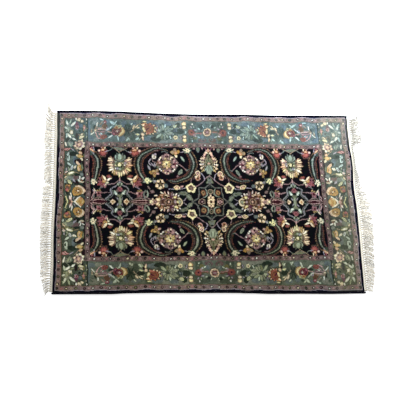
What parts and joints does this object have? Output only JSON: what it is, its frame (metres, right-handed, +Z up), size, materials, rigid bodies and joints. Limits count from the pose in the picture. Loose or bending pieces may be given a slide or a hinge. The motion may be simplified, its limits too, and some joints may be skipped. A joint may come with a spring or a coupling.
{
  "type": "persian rug",
  "caption": "Flat hand-knotted wool rug with wrapped side cords and a knotted cotton fringe at each short end, lying on a floor.",
  "frame": {"origin": "on the floor under the middle of the knotted body, which is 1.50 m by 0.94 m with its side cords", "axes": "+X along the rug's long side, with the fringed ends at -X and +X; +Y across it, away from the picture's camera; +Z up"},
  "size_m": [1.6554, 0.9696, 0.01],
  "materials": {
    "wool_pile": "cut wool pile, matt with a slight sheen",
    "navy_wool": "wrapped wool yarn, matt",
    "cotton": "undyed cotton yarn, matt"
  },
  "bodies": {
    "root": {"pile_body": "wool_pile", "side_cord_far": "navy_wool", "side_cord_near": "navy_wool", "fringe_left": "cotton", "fringe_right": "cotton"}
  },
  "joints": []
}
